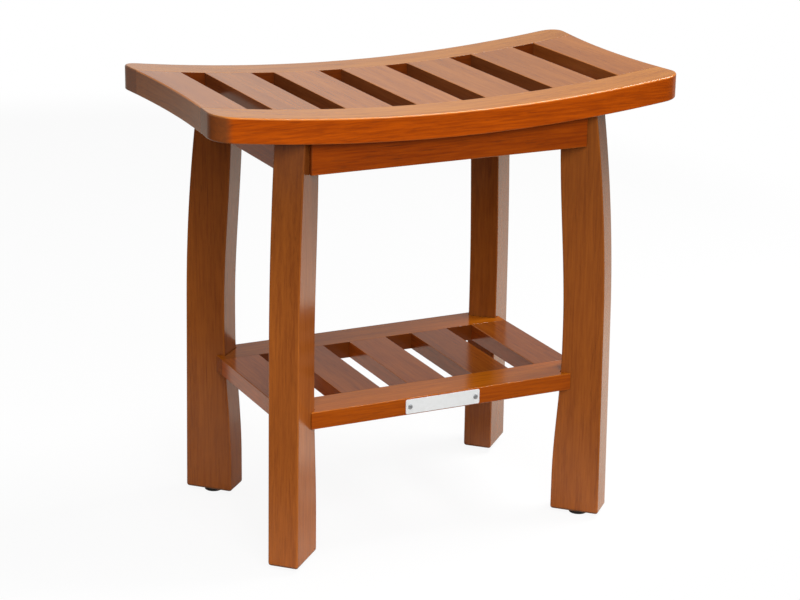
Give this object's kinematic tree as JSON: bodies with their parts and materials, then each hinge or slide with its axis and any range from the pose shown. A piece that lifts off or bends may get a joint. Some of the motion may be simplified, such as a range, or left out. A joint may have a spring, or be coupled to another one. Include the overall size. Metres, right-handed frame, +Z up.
{
  "type": "wooden shower bench",
  "caption": "Wooden shower bench: a dished, slatted rectangular seat with hollowed ends on diagonal bowed legs, with a slatted shelf below and small levelling feet.",
  "frame": {"origin": "centre of the bench's footprint, on the floor", "axes": "+X along the seat to the right, -Y the front with the nameplate, +Z up"},
  "size_m": [0.5102, 0.2756, 0.4762],
  "materials": {
    "seat_wood": "satin varnish",
    "frame_wood": "satin varnish",
    "shelf_wood": "satin varnish",
    "dowel_wood": "bare",
    "zinc_steel": "zinc plated",
    "brass": "plain",
    "black_plastic": "matte",
    "plate_metal": "satin",
    "screw_metal": "satin"
  },
  "bodies": {
    "frame": {"seat_front_rail": "seat_wood", "seat_back_rail": "seat_wood", "seat_left_end_rail": "seat_wood", "seat_right_end_rail": "seat_wood", "seat_slat_1": "seat_wood", "seat_slat_2": "seat_wood", "seat_slat_3": "seat_wood", "seat_slat_4": "seat_wood", "seat_slat_5": "seat_wood", "front_apron": "frame_wood", "back_apron": "frame_wood", "left_apron": "frame_wood", "right_apron": "frame_wood", "front_left_leg": "frame_wood", "front_right_leg": "frame_wood", "back_left_leg": "frame_wood", "back_right_leg": "frame_wood", "shelf_front_rail": "shelf_wood", "shelf_back_rail": "shelf_wood", "shelf_left_end_rail": "shelf_wood", "shelf_right_end_rail": "shelf_wood", "shelf_slat_1": "shelf_wood", "shelf_slat_2": "shelf_wood", "shelf_slat_3": "shelf_wood", "front_left_corner_block": "frame_wood", "front_right_corner_block": "frame_wood", "back_left_corner_block": "frame_wood", "back_right_corner_block": "frame_wood", "seat_dowels": "dowel_wood", "shelf_dowels": "dowel_wood", "leg_dowels": "dowel_wood", "hanger_bolts": "zinc_steel", "bolt_washers": "zinc_steel", "bolt_nuts": "zinc_steel", "block_screws": "zinc_steel", "seat_screws": "zinc_steel", "foot_inserts": "brass", "nameplate": "plate_metal", "nameplate_screws": "screw_metal"},
    "front_left_foot": {"front_left_foot_pad": "black_plastic", "front_left_foot_stud": "zinc_steel"},
    "front_right_foot": {"front_right_foot_pad": "black_plastic", "front_right_foot_stud": "zinc_steel"},
    "back_left_foot": {"back_left_foot_pad": "black_plastic", "back_left_foot_stud": "zinc_steel"},
    "back_right_foot": {"back_right_foot_pad": "black_plastic", "back_right_foot_stud": "zinc_steel"}
  },
  "joints": [
    {"name": "front_left_foot_screw", "type": "slide", "parent": "frame", "child": "front_left_foot", "axis": [0, 0, -1], "range_m": [0, 0.008]},
    {"name": "front_right_foot_screw", "type": "slide", "parent": "frame", "child": "front_right_foot", "axis": [0, 0, -1], "range_m": [0, 0.008]},
    {"name": "back_left_foot_screw", "type": "slide", "parent": "frame", "child": "back_left_foot", "axis": [0, 0, -1], "range_m": [0, 0.008]},
    {"name": "back_right_foot_screw", "type": "slide", "parent": "frame", "child": "back_right_foot", "axis": [0, 0, -1], "range_m": [0, 0.008]}
  ]
}
